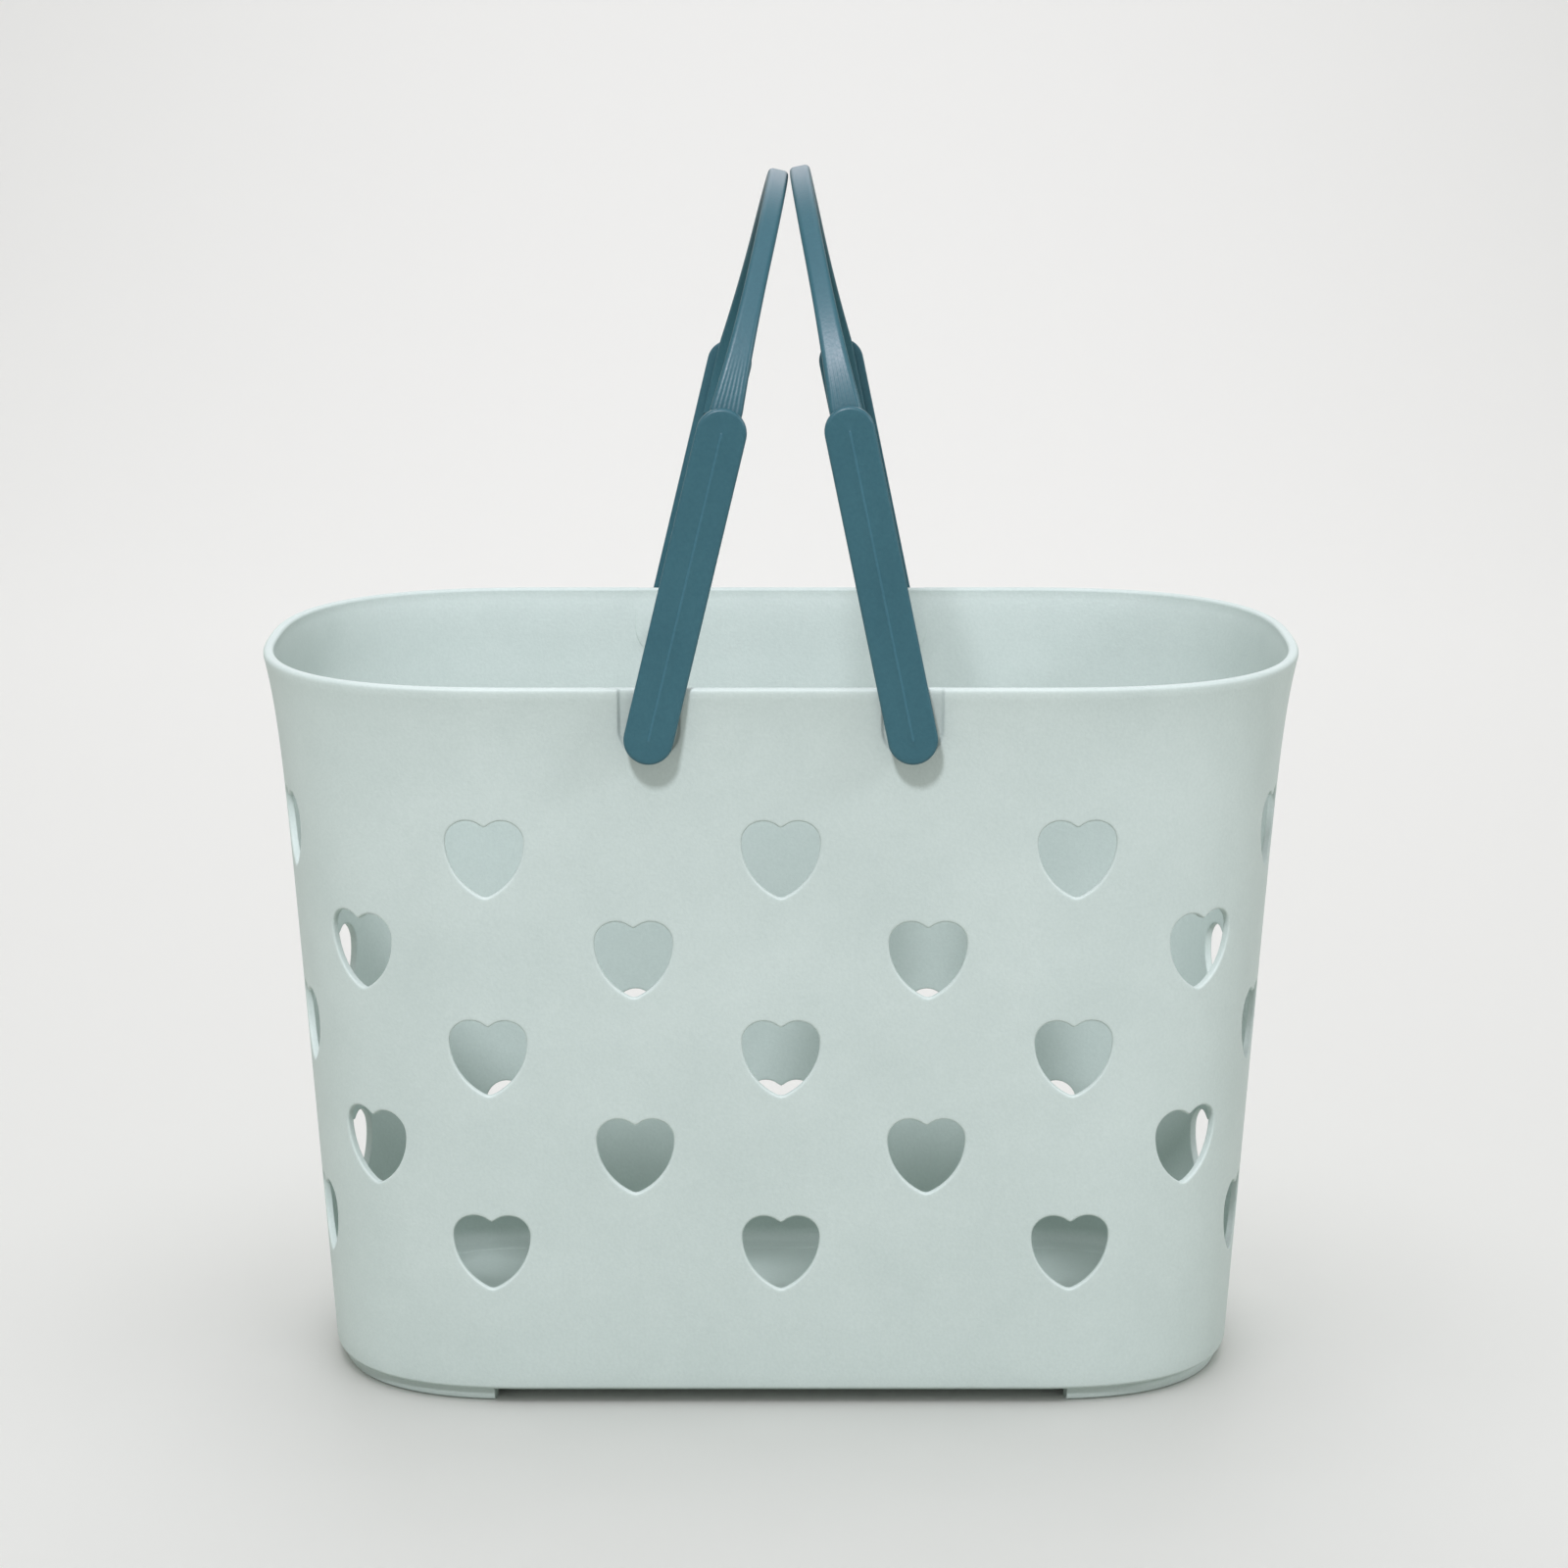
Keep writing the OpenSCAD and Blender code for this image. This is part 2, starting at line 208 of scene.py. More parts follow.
def resample(points, count):
    """The same path with evenly spaced points."""
    length = np.concatenate([[0.0], np.cumsum(np.hypot(*np.diff(points, axis=0).T))])
    at = np.linspace(0.0, length[-1], count + 1)
    return np.stack([np.interp(at, length, points[:, k]) for k in range(points.shape[1])], -1)


def arc(centre, radius, start, end, steps=160):
    t = np.linspace(start, end, steps)
    return np.stack([centre[0] + radius * np.cos(t), centre[1] + radius * np.sin(t)], -1)


def heart_half(count):
    """Right half of a heart from its notch to its tip, with its outward normals."""
    lobe = (HEART_W - LOBES) / 2
    tip = HEART_H - lobe
    side = (HEART_W ** 2 / 4 + tip ** 2) / HEART_W
    away = side - HEART_W / 2
    notch_y = math.sqrt((lobe + NOTCH_R) ** 2 - LOBES ** 2 / 4)
    tip_y = -math.sqrt((side - TIP_R) ** 2 - away ** 2)
    notch_end = math.atan2(-notch_y, LOBES / 2)
    lobe_start = math.atan2(notch_y, -LOBES / 2)
    side_end = math.atan2(tip_y, away)
    path = np.vstack([
        arc((0, notch_y), NOTCH_R, -math.pi / 2, notch_end),
        arc((LOBES / 2, 0), lobe, lobe_start, 0.0)[1:],
        arc((-away, 0), side, 0.0, side_end)[1:],
        arc((0, tip_y), TIP_R, side_end, -math.pi / 2)[1:]])
    points = resample(path, count)
    points[:, 1] += HEART_H / 2 - lobe
    step = np.gradient(points, axis=0)
    step[0], step[-1] = (1, 0), (-1, 0)
    normal = np.stack([-step[:, 1], step[:, 0]], -1)
    normal /= np.linalg.norm(normal, axis=1)[:, None]
    return points, normal


def mirror_loop(half):
    """A closed loop from a half that starts and ends on the mirror line."""
    back = half[-2:0:-1] * np.array([-1.0, 1.0])
    return np.vstack([half, back])


# ---- Mesh building ----

class Patches:
    """Grids of points, welded where they meet."""

    def __init__(self):
        self.points, self.faces, self.count = [], [], 0

    def grid(self, points, wrap=False, flip=False):
        points = np.asarray(points, float)
        rows, columns = points.shape[:2]
        index = np.arange(rows * columns).reshape(rows, columns) + self.count
        self.points.append(points.reshape(-1, 3))
        self.count += rows * columns
        last = columns if wrap else columns - 1
        for i in range(rows - 1):
            for j in range(last):
                k = (j + 1) % columns
                face = [int(index[corner]) for corner in ((i, j), (i, k), (i + 1, k), (i + 1, j))]
                self.faces.append(face[::-1] if flip else face)

    def build(self, name, weld=2e-6, sharp=35.0):
        mesh = bpy.data.meshes.new(name)
        mesh.from_pydata((np.vstack(self.points) * MM).tolist(), [], self.faces)
        work = bmesh.new()
        work.from_mesh(mesh)
        bmesh.ops.remove_doubles(work, verts=work.verts, dist=weld)
        bmesh.ops.dissolve_degenerate(work, edges=work.edges, dist=weld)
        bmesh.ops.recalc_face_normals(work, faces=work.faces)
        work.to_mesh(mesh)
        work.free()
        mesh.shade_smooth()
        mesh.set_sharp_from_angle(angle=math.radians(sharp))
        piece = bpy.data.objects.new(name, mesh)
        bpy.context.scene.collection.objects.link(piece)
        return piece


def blend_points(a, b, shares):
    return [a + (b - a) * t for t in shares]


# ---- Basket ----

BOTTOM_Z = FLOOR_Z + FIRST_ROW - ROW_PITCH / 2
TOP_Z = BOTTOM_Z + 5 * ROW_PITCH
PAD_LOW_Z = TOP_Z + PLAIN_STRIP
# Heights of the rings beside a pad, from the lip down: its straight sides, then its round end
STRAIGHT_Z = np.append(LIP_Z - np.array([0, 2.1, 3.9, 4.6, 5.3, 6.1, 7.9]), PAD_Z)
SIDE_Z = np.concatenate([STRAIGHT_Z, np.linspace(PAD_Z, PAD_LOW_Z, 7)[1:]])
# Steps of a pad as (distance outside its outline, depth): rounded off outside, crisp inside
STEP_OUT = [(0.35, 0.0), (0.18, 0.05), (0.0, 0.2), (-0.3, 0.5), (-0.6, 0.8), (-0.85, 0.9)]
STEP_IN = [(0.4, 0.0), (0.2, 0.06), (0.06, 0.27), (-0.06, 0.62), (-0.18, 0.9), (-0.4, 1.0)]


def column_list():
    """Each column as (kind, quadrant, middle q, samples of q across it)."""
    bounds = [-R_CENTRES[1] / 2] + [(a + b) / 2 for a, b in zip(R_CENTRES, R_CENTRES[1:])]
    half = CELL_X // 2
    columns = []
    for quad in range(4):
        order = range(5) if quad % 2 == 0 else range(5, 0, -1)
        for i in order:
            low = bounds[i]
            high = bounds[i + 1] if i < 5 else 2 * Q - bounds[5]
            middle = R_FOOT if i == 2 else R_CENTRES[i]
            q = np.concatenate([np.linspace(low, middle, half + 1),
                                np.linspace(middle, high, half + 1)[1:]])
            centre = R_CENTRES[i]
            if quad % 2 == 1:
                q, centre = (Q - q)[::-1], Q - centre
            columns.append((KINDS[i], quad, centre + quad * Q, q + quad * Q))
    return columns


def inner_inset(z):
    """The wall's inside, which thickens under the rim."""
    return WALL + (RIM_THICK - WALL) * smooth((z - BAND_Z) / (LIP_Z - BAND_Z))


def pad_back_inset(z, share):
    """The pads' backs stand out on the inside, less and less towards their lower ends."""
    out = np.clip((z - BAND_Z) / BACK_FADE, 0, 1)
    return np.maximum(inner_inset(z), WALL + PAD_RECESS * share * out)


def heart_cell(body, kind, quad, q0, qs, row):
    """A block of the wall with a heart through it: both faces and the rounded edge between them."""
    z0 = FLOOR_Z + FIRST_ROW + row * ROW_PITCH
    middle, normal = heart_frame(kind, z0, quad)
    tangent = np.array([-normal[1], normal[0]])
    half = CELL_X // 2
    half_points, half_normals = heart_half(CELL_X + CELL_Z)
    shape, away = mirror_loop(half_points), mirror_loop(half_normals)
    zs = np.linspace(z0 + ROW_PITCH / 2, z0 - ROW_PITCH / 2, CELL_Z + 1)
    right = [(q, zs[0]) for q in qs[half:]] + [(qs[-1], z) for z in zs[1:]] + \
            [(q, zs[-1]) for q in qs[half:-1][::-1]]
    left = [(q, zs[-1]) for q in qs[:half][::-1]] + [(qs[0], z) for z in zs[-2::-1]] + \
           [(q, zs[0]) for q in qs[1:half]]
    border = np.array(right + left)

    def ring(offset, depth):
        across, z = (shape + away * offset).T
        z = z + z0
        return solve_q(middle, tangent, across, z, np.full(len(z), depth), q0), z

    def face_rings(edge, depth):
        q, z = ring(edge, depth)
        q2, z2 = ring(edge + HEART_MARGIN, depth)
        near = np.stack([q2, z2], -1)
        steps = blend_points(near, border, HEART_SHARES)
        flat = [np.stack([q, z], -1)] + steps
        return [surface(s[:, 0], s[:, 1], depth) for s in flat]

    rounds = []
    for t in np.linspace(0, math.pi / 2, 6)[1:]:
        offset, depth = HEART_ROUND * (1 - math.sin(t)), HEART_ROUND * (1 - math.cos(t))
        q, z = ring(offset, depth)
        rounds.append(surface(q, z, depth))
    for t in np.linspace(math.pi / 2, 0, 4)[:-1]:
        offset = HEART_ROUND_IN * (1 - math.sin(t))
        depth = WALL - HEART_ROUND_IN * (1 - math.cos(t))
        q, z = ring(offset, depth)
        rounds.append(surface(q, z, depth))
    outer = face_rings(HEART_ROUND, 0.0)[::-1]
    inner = face_rings(HEART_ROUND_IN, WALL)
    body.grid(outer + rounds + inner, wrap=True)


def wall_grid(body, qs, zs, inset, flip=False):
    q, z = np.meshgrid(qs, zs)
    body.grid(surface(q, z, inset(z) if callable(inset) else inset), flip=flip)


def pad_rings(qs, q_mid, half_width, steps, base_inset):
    """Grids of the wall round and inside a pad, with the samples along its top."""
    border = np.array([(qs[0], z) for z in SIDE_Z] + [(q, PAD_LOW_Z) for q in qs[1:]] +
                      [(qs[-1], z) for z in SIDE_Z[-2::-1]])
    straight = len(STRAIGHT_Z)
    turns = len(border) - 2 * straight
    t = np.linspace(math.pi, 2 * math.pi, turns + 2)

    def outline(offset):
        r = half_width + offset
        left = [(q_mid - r, z) for z in STRAIGHT_Z]
        low = [(q_mid + r * math.cos(a), PAD_Z + r * math.sin(a)) for a in t[1:-1]]
        return np.array(left + low + [(q_mid + r, z) for z in STRAIGHT_Z[::-1]])

    def lift(points, recess):
        q, z = points[:, 0], points[:, 1]
        return surface(q, z, base_inset(z, recess))

    outer = blend_points(border, outline(PAD_MARGIN), PAD_SHARES)
    rings = [(p, 0.0) for p in outer] + [(outline(o), d) for o, d in steps]
    rings.append((outline(-PAD_MARGIN_IN), steps[-1][1]))
    grids = [[lift(p, d) for p, d in rings]]
    left_top = [(p[0, 0], d) for p, d in rings]
    right_top = [(p[-1, 0], d) for p, d in rings[::-1]]
    inner, recess = rings[-1]
    across = np.linspace(inner[straight - 1, 0], inner[-straight, 0], PAD_ACROSS)
    q, z = np.meshgrid(across, STRAIGHT_Z[:-1])
    grids.append(lift(np.stack([q.ravel(), z.ravel()], -1), recess).reshape(straight - 1, -1, 3))
    closing = np.stack([across[-2:0:-1], np.full(PAD_ACROSS - 2, STRAIGHT_Z[-2])], -1)
    disc = np.vstack([inner[straight - 2:-straight + 2], closing])
    spread = np.unwrap(np.arctan2(disc[:, 1] - PIVOT_Z, disc[:, 0] - q_mid))
    circle = PIVOT_BORE / 2 * np.stack([np.cos(spread), np.sin(spread)], -1)
    hole = np.array([q_mid, PIVOT_Z]) + circle
    chamfer = hole + circle * BORE_SPREAD
    grids.append([lift(p, recess) for p in blend_points(disc, chamfer, BORE_SHARES)])
    top = left_top + [(q, recess) for q in across[1:-1]] + right_top
    return grids, top, hole, chamfer, recess


def rim_rings(outer_q, inner_q, recess):
    """The rounded rim over samples of q; recess cuts its outside back."""
    steps = [(0.0, LIP_Z)]
    for t in np.linspace(0, math.pi / 2, 7):
        steps.append((RIM_ROUND * (1 - math.cos(t)), RIM_Z - RIM_ROUND * (1 - math.sin(t))))
    for t in np.linspace(math.pi / 2, math.pi, 7):
        inset = RIM_THICK - RIM_ROUND * (1 + math.cos(t))
        steps.append((inset, RIM_Z - RIM_ROUND * (1 - math.sin(t))))
    steps.append((RIM_THICK, LIP_Z))
    rows = []
    for inset, z in steps:
        share = inset / RIM_THICK
        q = outer_q + (inner_q - outer_q) * share
        rows.append(surface(q, z, recess + inset * (1 - recess / RIM_THICK)))
    return rows


def quarter_round(inset, z, radius, steps):
    """Profile of a corner that runs down a wall at inset and ends flat at height z."""
    return [(inset + radius * (1 - math.cos(t)), z + radius * (1 - math.sin(t)))
            for t in np.linspace(0, math.pi / 2, steps + 1)[1:]]


# Profiles as [(distance in, height)]: the outside and the inside under the hearts, and the base
FLOOR_TOP = FLOOR_Z + FLOOR
RIB_END = FOOT_INSET + FOOT_W
OUTSIDE = [(0.0, z) for z in np.linspace(BOTTOM_Z, FLOOR_Z + BASE_R, 8)]
OUTSIDE += quarter_round(0.0, FLOOR_Z, BASE_R, 6) + [(FOOT_INSET, FLOOR_Z)]
INSIDE = [(WALL, z) for z in np.linspace(BOTTOM_Z, FLOOR_TOP + FLOOR_R, 7)]
INSIDE += quarter_round(WALL, FLOOR_TOP, FLOOR_R, 8)
INSIDE += [(d, FLOOR_TOP - down) for d, down in FLOOR_STEP]
RIB = [(FOOT_INSET, FLOOR_Z)] + [(FOOT_INSET + d, z) for d, z in RIB_EDGE]
RIB += [(RIB_END - d, z) for d, z in RIB_EDGE[::-1]] + [(RIB_END, FLOOR_Z)]
NO_RIB = [(d, FLOOR_Z) for d, _ in RIB]


def strip(body, qs, profile):
    """Faces along a profile, over samples of q."""
    inset, z = np.array(profile).T[..., None]
    body.grid(surface(np.asarray(qs)[None, :], z, inset))


def floor_fill(body, qs, inset, z, flip):
    """Flat faces from the ring at inset to the line along the basket's middle."""
    edge = surface(qs, z, inset)
    spine = edge * np.array([1, 0, 1])
    spine[:, 0] = np.clip(spine[:, 0], -SPINE, SPINE)
    body.grid(blend_points(edge, spine, np.linspace(0, 1, 8)), flip=flip)


def heart_rows(body, kind, quad, q0, qs):
    """The rows of a column, where every second one has a heart, and the plain strip over them."""
    even = kind in ("face0", "face2", "flank")
    for row in range(5):
        if (row % 2 == 0) == even:
            heart_cell(body, kind, quad, q0, qs, row)
        else:
            low = BOTTOM_Z + row * ROW_PITCH
            zs = np.linspace(low, BOTTOM_Z + (row + 1) * ROW_PITCH, CELL_Z + 1)
            wall_grid(body, qs, zs, 0.0)
            wall_grid(body, qs, zs, WALL, flip=True)
    zs = np.linspace(TOP_Z, PAD_LOW_Z, 4)
    wall_grid(body, qs, zs, 0.0)
    wall_grid(body, qs, zs, WALL, flip=True)


def foot(body, kind, quad, qs):
    """The underside near the wall: a rib round the ends, which stops in the middle of face2."""
    if kind in ("corner", "flank", "end"):
        strip(body, qs, RIB[::-1])
    elif kind == "face2":
        half = CELL_X // 2
        turned = quad % 2 == 1
        ribbed, plain = (qs[:half + 1], qs[half:]) if turned else (qs[half:], qs[:half + 1])
        strip(body, ribbed, RIB[::-1])
        strip(body, plain, NO_RIB[::-1])
        cap = [surface(qs[half], [z for _, z in line], [d for d, _ in line])
               for line in (NO_RIB, RIB)]
        body.grid(cap, flip=turned)
    else:
        strip(body, qs, NO_RIB[::-1])


def pad_top(body, quad, q0, qs):
    """The top of a column with a pad: the pad, its back, the rim over them and the bore."""
    pad_q = math.floor(q0 / Q) * Q + (PIVOT_SPAN / 2 if quad % 2 == 0 else Q - PIVOT_SPAN / 2)
    outer, top_out, hole, chamfer, recess = pad_rings(
        qs, pad_q, PAD_W / 2, STEP_OUT, lambda z, d: d)
    inner, top_in, hole_in, chamfer_in, _ = pad_rings(
        qs, pad_q, PAD_W / 2 + WALL / 2, STEP_IN, pad_back_inset)
    for part in (outer, inner):
        for points in part[:-1]:
            body.grid(points)
        body.grid(part[-1], wrap=True)
    q_out, cut = np.array(top_out).T
    q_in = np.array(top_in)[:, 0]
    body.grid(rim_rings(q_out, q_in, cut))
    bore = ((chamfer, recess), (hole, recess + BORE_EDGE),
            (hole_in, pad_back_inset(hole_in[:, 1], 1.0) - BORE_EDGE),
            (chamfer_in, pad_back_inset(chamfer_in[:, 1], 1.0)))
    body.grid([surface(p[:, 0], p[:, 1], d) for p, d in bore], wrap=True)


def plain_top(body, qs):
    wall_grid(body, qs, SIDE_Z[::-1], 0.0)
    wall_grid(body, qs, SIDE_Z[::-1], inner_inset, flip=True)
    body.grid(rim_rings(qs, qs, 0.0))


def basket():
    """The whole moulding, column by column."""
    body = Patches()
    for kind, quad, q0, qs in column_list():
        heart_rows(body, kind, quad, q0, qs)
        strip(body, qs, OUTSIDE[::-1])
        strip(body, qs, INSIDE)
        floor_fill(body, qs, *INSIDE[-1], False)
        floor_fill(body, qs, RIB_END, FLOOR_Z, True)
        foot(body, kind, quad, qs)
        if kind == "face1":
            pad_top(body, quad, q0, qs)
        else:
            plain_top(body, qs)
    return body.build("basket_shell")


# ---- Handles ----

ARM_BACK = RIM_DEPTH / 2 + ARM_GAP
ARM_FRONT = ARM_BACK + ARM_T
ARCH_REACH = ARM_FRONT - ARCH_BACK
ARCH_RISE = GRIP_Z - ARCH_START


def stadium(inset, round_steps=24, side_steps=20):
    """Outline of an arm from the front, taken in by inset, anticlockwise from its lower left."""
    r = ARM_W / 2 - inset
    turn = np.linspace(0, math.pi, round_steps + 1)
    low = [(r * math.cos(a), r * math.sin(a)) for a in turn + math.pi]
    up = [(r, z) for z in np.linspace(0, ARM_L, side_steps + 1)[1:-1]]
    top = [(r * math.cos(a), ARM_L + r * math.sin(a)) for a in turn]
    down = [(-r, z) for z in np.linspace(ARM_L, 0, side_steps + 1)[1:-1]]
    return np.array(low + up + top + down)


def arm(mesh, face):
    """A flat arm with rounded edges and a fine raised line down its middle."""
    front_r, back_r = ARM_ROUND, ARM_ROUND_BACK
    profile = [(inset, ARM_BACK) for inset in (ARM_W / 2, ARM_RING_BACK, back_r)]
    for t in np.linspace(0, math.pi / 2, 4)[1:]:
        profile.append((back_r * (1 - math.sin(t)), ARM_BACK + back_r * (1 - math.cos(t))))
    for t in np.linspace(0, math.pi / 2, 7):
        profile.append((front_r * (1 - math.cos(t)), ARM_FRONT - front_r * (1 - math.sin(t))))
    profile += [(inset, ARM_FRONT) for inset in ARM_RINGS]
    profile += [(ARM_W / 2 - half, ARM_FRONT + up) for half, up in ARM_CREASE]
    rings = []
    for inset, y in profile:
        p = stadium(inset)
        rings.append(np.stack([p[:, 0], np.full(len(p), face * y), p[:, 1]], -1))
    mesh.grid(rings, wrap=True, flip=face > 0)


def lathe(mesh, face, profile, steps=40):
    """Turned about the pivot axis; the profile is [distance out, radius]."""
    a = np.linspace(0, 2 * math.pi, steps, endpoint=False)
    rings = [np.stack([r * np.cos(a), np.full(steps, face * y), r * np.sin(a)], -1)
             for y, r in profile]
    mesh.grid(rings, wrap=True, flip=face < 0)


def arch_width(z):
    share = np.clip(1 - (z - (ARM_L + ARM_W / 2)) / SHOULDER_RISE, 0, 1)
    return GRIP_W + (SHOULDER_W - GRIP_W) * share ** 2


def arch(mesh):
    """The arch: a rounded band with flutes that fade out above each arm."""
    tail = (ARCH_START - ARCH_TAIL, ARCH_START - ARCH_TAIL / 2)
    frames = [(-ARCH_REACH, z, math.pi) for z in tail]
    frames += [(ARCH_REACH * math.sin(t), ARCH_START + ARCH_RISE * math.cos(t),
                math.atan2(ARCH_REACH * math.cos(t), ARCH_RISE * math.sin(t)))
               for t in np.linspace(-math.pi / 2, math.pi / 2, 121)]
    frames += [(ARCH_REACH, z, 0.0) for z in tail[::-1]]
    across = np.linspace(-1, 1, 49)
    top_r, low_r = ARCH_ROUND, ARCH_ROUND_LOW
    low_v = low_r - ARCH_T
    rings = []
    for y, z, turn in frames:
        w = float(arch_width(z)) / 2
        flat = w - top_r
        fade = float(1 - smooth((z - FLUTE_Z) / FLUTE_FADE))
        v = -FLUTE_DEPTH * fade * (0.5 - 0.5 * np.cos(math.pi * FLUTES * (across + 1)))
        section = np.vstack([
            np.stack([across * flat, v], -1),
            arc((flat, -top_r), top_r, math.pi / 2, 0, 6)[1:],
            arc((w - low_r, low_v), low_r, 0, -math.pi / 2, 5),
            arc((low_r - w, low_v), low_r, -math.pi / 2, -math.pi, 5),
            arc((-flat, -top_r), top_r, math.pi, math.pi / 2, 6)[:-1]])
        rings.append(np.stack([section[:, 0], y + section[:, 1] * math.cos(turn),
                               z + section[:, 1] * math.sin(turn)], -1))
    first, last = (np.tile(ring.mean(0), (len(ring), 1)) for ring in (rings[0], rings[-1]))
    mesh.grid([first] + rings + [last], wrap=True)


def handle(name, side, lean):
    """Two arms, the studs behind their feet, and the arch; upright first, then leant and placed."""
    mesh = Patches()
    hub = float(half_sizes(PIVOT_Z + HUB_D / 2)[1]) - PAD_RECESS + HUB_CLEAR
    head = float(half_sizes(PIVOT_Z - HEAD_D / 2)[1]) - PAD_RECESS - WALL - HUB_CLEAR
    end = head - HEAD_T
    stud = PIVOT_BORE / 2 - STUD_CLEAR
    tip = stud - STUD_CLEAR
    root = ARM_BACK + HUB_SINK
    profile = [(root, 0.0), (root, HUB_D / 2)]
    profile += [(hub + out, HUB_D / 2 + up) for out, up in HUB_STEPS]
    profile += [(hub, stud + STUD_EDGE), (hub - STUD_EDGE, stud), (head, stud)]
    profile += [(head + out, HEAD_D / 2 + up) for out, up in HEAD_STEPS]
    profile += [(end + out, tip + up) for out, up in TIP_STEPS] + [(end, 0.0)]
    for face in (-1, 1):
        arm(mesh, face)
        lathe(mesh, face, profile)
    arch(mesh)
    c, s = math.cos(lean), math.sin(lean)
    turn = np.array([[c, 0, s], [0, 1, 0], [-s, 0, c]])
    place = np.array([side * PIVOT_SPAN / 2, 0, PIVOT_Z])
    mesh.points = [p @ turn.T + place for p in mesh.points]
    return mesh.build(name)


# ---- Materials ----

CLOUD_SCALE, CLOUD_DETAIL, CLOUD_ROUGHNESS = 28.0, 5.0, 0.62
GRAIN_SCALE, GRAIN_DETAIL = 1000.0, 3.0
GRAIN_SHARE = 0.45  # how much of the colour's mottle is grain; the rest is cloud
GRAIN_HEIGHT = 0.0002


def plastic(name, colour, dark, light, roughness, bump):
    """Moulded plastic: faint cloudy colour, fine grain in the sheen and in the surface."""
    material = bpy.data.materials.new(name)
    material.use_nodes = True
    nodes, links = material.node_tree.nodes, material.node_tree.links
    shader = nodes["Principled BSDF"]
    shader.inputs["IOR"].default_value = 1.49
    place = nodes.new("ShaderNodeTexCoord")
    cloud = nodes.new("ShaderNodeTexNoise")
    cloud.inputs["Scale"].default_value = CLOUD_SCALE
    cloud.inputs["Detail"].default_value = CLOUD_DETAIL
    cloud.inputs["Roughness"].default_value = CLOUD_ROUGHNESS
    links.new(place.outputs["Object"], cloud.inputs["Vector"])
    speck = nodes.new("ShaderNodeTexNoise")
    speck.inputs["Scale"].default_value = GRAIN_SCALE
    speck.inputs["Detail"].default_value = GRAIN_DETAIL
    links.new(place.outputs["Object"], speck.inputs["Vector"])
    tone = nodes.new("ShaderNodeValToRGB")
    stops = tone.color_ramp.elements
    stops[0].position, stops[1].position = 0.3, 0.7
    stops[0].color, stops[1].color = (*dark, 1), (*light, 1)
    stops.new(0.5).color = (*colour, 1)
    mix = nodes.new("ShaderNodeMath")
    mix.operation = "MULTIPLY_ADD"
    mix.inputs[1].default_value = GRAIN_SHARE
    links.new(speck.outputs["Fac"], mix.inputs[0])
    half = nodes.new("ShaderNodeMath")
    half.operation = "MULTIPLY"
    half.inputs[1].default_value = 1 - GRAIN_SHARE
    links.new(cloud.outputs["Fac"], half.inputs[0])
    links.new(half.outputs[0], mix.inputs[2])
    links.new(mix.outputs[0], tone.inputs["Fac"])
    links.new(tone.outputs["Color"], shader.inputs["Base Color"])
    gloss = nodes.new("ShaderNodeMapRange")
    gloss.inputs["To Min"].default_value, gloss.inputs["To Max"].default_value = roughness
    links.new(speck.outputs["Fac"], gloss.inputs["Value"])
    links.new(gloss.outputs["Result"], shader.inputs["Roughness"])
    raised = nodes.new("ShaderNodeBump")
    raised.inputs["Strength"].default_value = bump
    raised.inputs["Distance"].default_value = GRAIN_HEIGHT
    links.new(speck.outputs["Fac"], raised.inputs["Height"])
    links.new(raised.outputs["Normal"], shader.inputs["Normal"])
    return material


def linear(*levels):
    """The linear colour of three screen levels from 10 to 255."""
    return tuple(((v / 255 + 0.055) / 1.055) ** 2.4 for v in levels)


# The middle, dark and light tones of each plastic, its range of roughness and its bump
PALE = plastic("matte_pale_plastic",
               linear(189, 203.5, 196.5), linear(183, 198, 191), linear(195, 209, 202),
               (0.5, 0.62), 0.3)
DARK = plastic("matte_dark_plastic",
               linear(43, 89.5, 99), linear(38, 84, 94), linear(48, 95, 104), (0.36, 0.48), 0.25)
# The raised line's lighter colour: partly its own paler tone, partly painted sheen
LINE_TONE_AND_SHEEN = plastic("matte_dark_plastic_line_tone_and_sheen",
               linear(51, 99, 111), linear(47, 94, 106), linear(55, 104, 116), (0.36, 0.48), 0.25)

# ---- Pieces ----

EDGE_RADIUS = math.hypot(GRIP_Z - ARCH_EDGE, GRIP_W / 2)
EDGE_ANGLE = math.atan2(GRIP_W / 2, GRIP_Z - ARCH_EDGE)
RIGHT_REACH = EDGE_RADIUS * math.sin(math.radians(RIGHT_LEAN) + EDGE_ANGLE)
LEFT_LEAN = math.asin((PIVOT_SPAN - GRIP_GAP - RIGHT_REACH) / EDGE_RADIUS) - EDGE_ANGLE

shell = basket()
left = handle("left_bail_handle", -1, LEFT_LEAN)
right = handle("right_bail_handle", 1, -math.radians(RIGHT_LEAN))
for piece, body, node, slot, material in (
        (shell, "basket", "basket_body", "basket_plastic", PALE),
        (left, "left_bail", "left_handle", "handle_plastic", DARK),
        (right, "right_bail", "right_handle", "handle_plastic", DARK)):
    piece.data.materials.append(material)
    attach(piece, body)
    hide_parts(node)
# The raised line's faces take its lighter colour, partly its own tone and partly painted sheen
for piece in (left, right):
    piece.data.materials.append(LINE_TONE_AND_SHEEN)
    for face in piece.data.polygons:
        face.material_index = int(abs(face.center.y) > (ARM_FRONT + LINE_TONE_AND_SHEEN_FROM) * MM)


# ---- Floor, light and camera ----

def rise(flat, radius=1.2, top=4.5):
    """Points (distance, height) of a floor that curves up into a wall, in metres."""
    curve = [(flat + radius * math.sin(t), radius * (1 - math.cos(t)))
             for t in np.linspace(0, math.pi / 2, 17)]
    return curve + [(flat + radius, top)]


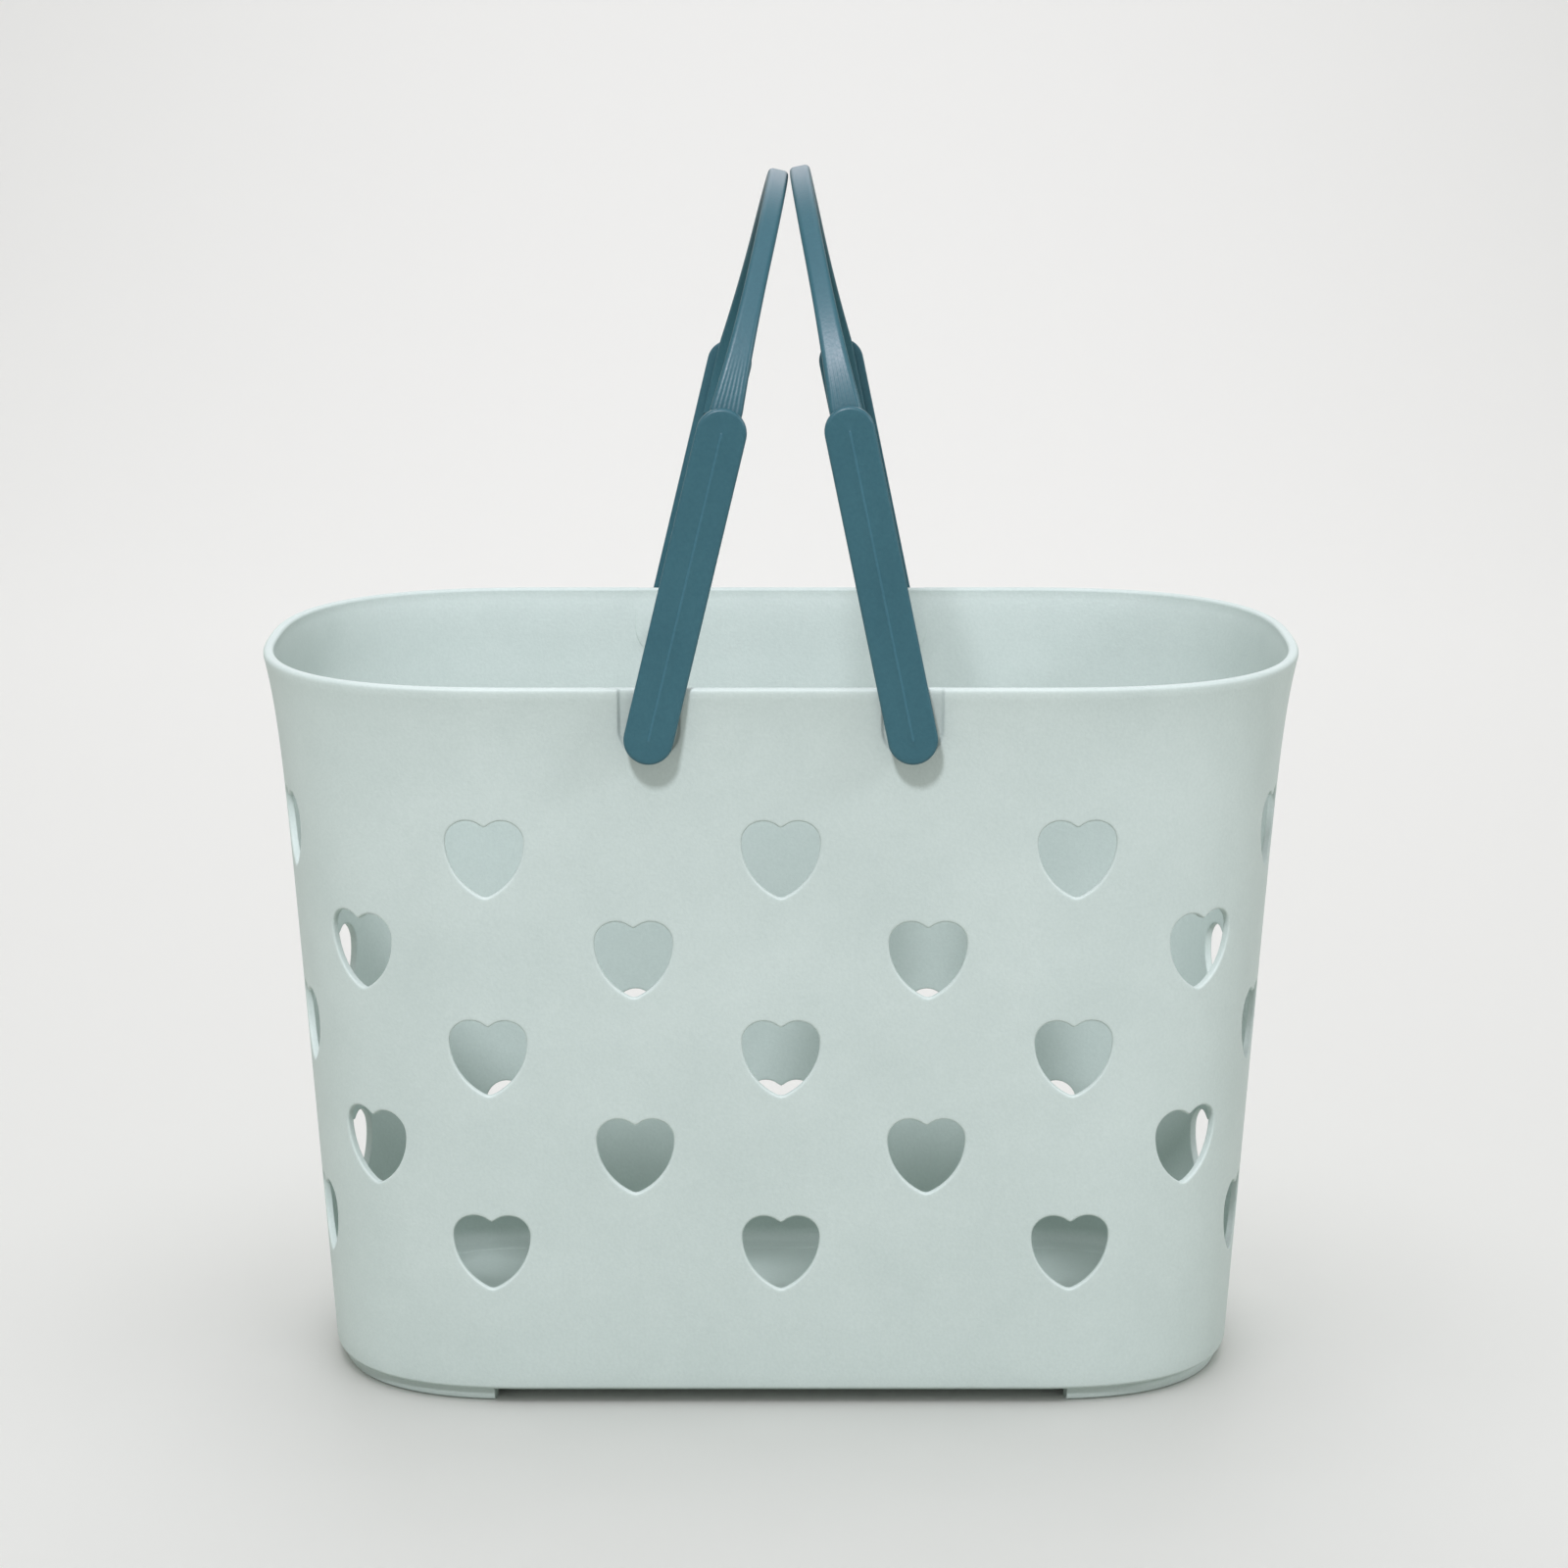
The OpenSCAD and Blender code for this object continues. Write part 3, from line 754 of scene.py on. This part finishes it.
def stage_sheet():
    """A pale floor that curves up into a backdrop behind and at both sides."""
    side = rise(3.5)
    across = [(-x, z) for x, z in side[::-1]] + side
    along = [(-6.0, 0.0)] + rise(1.4)
    count = len(across)
    points = [(x, y, up + z) for y, z in along for x, up in across]
    faces = [(k, k + 1, k + count + 1, k + count)
             for row in range(len(along) - 1) for k in range(row * count, (row + 1) * count - 1)]
    mesh = bpy.data.meshes.new("floor_sheet")
    mesh.from_pydata(points, [], faces)
    mesh.shade_smooth()
    sheet = bpy.data.objects.new("floor_sheet", mesh)
    bpy.context.scene.collection.objects.link(sheet)
    material = bpy.data.materials.new("pale_floor")
    material.use_nodes = True
    shader = material.node_tree.nodes["Principled BSDF"]
    shader.inputs["Base Color"].default_value = (0.86, 0.87, 0.83, 1)
    shader.inputs["Roughness"].default_value = 0.7
    mesh.materials.append(material)
    return sheet


def area_light(name, place, aim, size, power, colour, only=()):
    """A round lamp; with only, it lights nothing else."""
    data = bpy.data.lights.new(name, "AREA")
    data.shape = "DISK"
    data.size, data.energy, data.color = size, power, colour
    light = bpy.data.objects.new(name, data)
    light.location = place
    light.rotation_euler = (Vector(aim) - Vector(place)).to_track_quat("-Z", "Y").to_euler()
    bpy.context.scene.collection.objects.link(light)
    if only:
        lit = bpy.data.collections.new(name + "_lights")
        for piece in only:
            lit.objects.link(piece)
        light.light_linking.receiver_collection = lit


COOL = (1.0, 0.965, 1.06)
PARTS = (shell, left, right)
sheet = stage_sheet()
area_light("key_light", (-0.5, -1.85, 2.2), (0, 0, 0.15), 0.34, 55.5, COOL, PARTS)
area_light("top_light", (0.0, -0.3, 2.4), (0, 0, 0.2), 2.4, 12.0, COOL)
area_light("right_light", (1.9, -0.7, 1.2), (0, 0, 0.2), 0.6, 14.0, COOL, PARTS)
area_light("left_light", (-1.9, -0.3, 1.2), (0, 0, 0.2), 0.5, 2.5, COOL, PARTS)
area_light("back_light", (0.0, 2.2, 1.5), (0, 0, 0.3), 1.8, 12.0, COOL)
area_light("floor_light", (0.0, 0.2, 3.0), (0, 0, 0), 3.0, 26.0, (1, 1, 1), (sheet,))
world = bpy.data.worlds.new("studio")
world.use_nodes = True
background = world.node_tree.nodes["Background"]
background.inputs["Color"].default_value = (1.0, 0.985, 1.02, 1)
background.inputs["Strength"].default_value = 0.45
bpy.context.scene.world = world

# Worked out from how the rim, the base and the hearts lie in the photo
CAMERA_PLACE, CAMERA_TILT, CAMERA_LENS = (0.001, -1.41315, 0.48294), 78.29, 99.0
camera = bpy.data.objects.new("camera", bpy.data.cameras.new("camera"))
camera.data.lens, camera.data.sensor_width = CAMERA_LENS, 36.0
camera.data.clip_start, camera.data.clip_end = 0.05, 50.0
camera.location = CAMERA_PLACE
camera.rotation_euler = (math.radians(CAMERA_TILT), 0, 0)
bpy.context.scene.collection.objects.link(camera)
bpy.context.scene.camera = camera
bpy.context.scene.view_settings.view_transform = "Standard"

bpy.context.view_layer.update()
